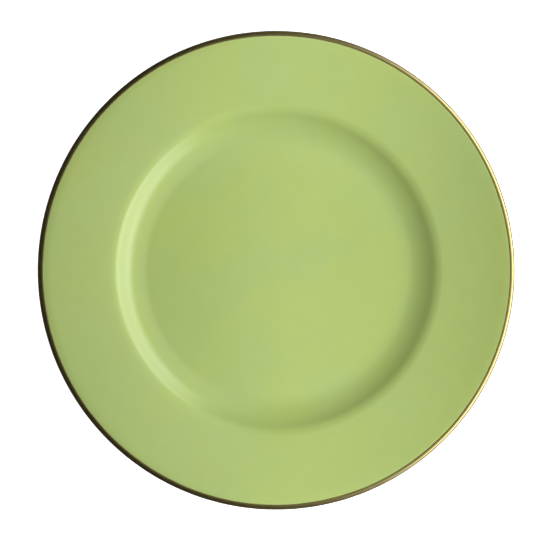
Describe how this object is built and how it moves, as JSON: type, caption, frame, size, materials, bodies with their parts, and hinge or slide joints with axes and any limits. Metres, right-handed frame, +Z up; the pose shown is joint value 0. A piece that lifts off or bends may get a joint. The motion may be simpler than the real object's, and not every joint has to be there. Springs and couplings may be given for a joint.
{
  "type": "china dinner plate",
  "caption": "Round china dinner plate with a flat well, a hollow shoulder and a wide, gently rising rim, on a foot ring. Green enamelled face, clear-glazed white back and gilded lip.",
  "frame": {"origin": "centre of the plate, on the plane that the foot ring stands on", "axes": "+Z straight up out of the face, along the plate's axis of turning; X and Y are any two square directions across it"},
  "size_m": [0.273, 0.273, 0.0218],
  "materials": {
    "biscuit": "matte",
    "clear_glaze": "gloss",
    "green_enamel": "gloss",
    "gilding": "polished"
  },
  "bodies": {
    "root": {"porcelain_body": "biscuit", "glaze_coat": "clear_glaze", "foot_recess_glaze": "clear_glaze", "green_ground": "green_enamel", "gold_rim_band": "gilding"}
  },
  "joints": []
}
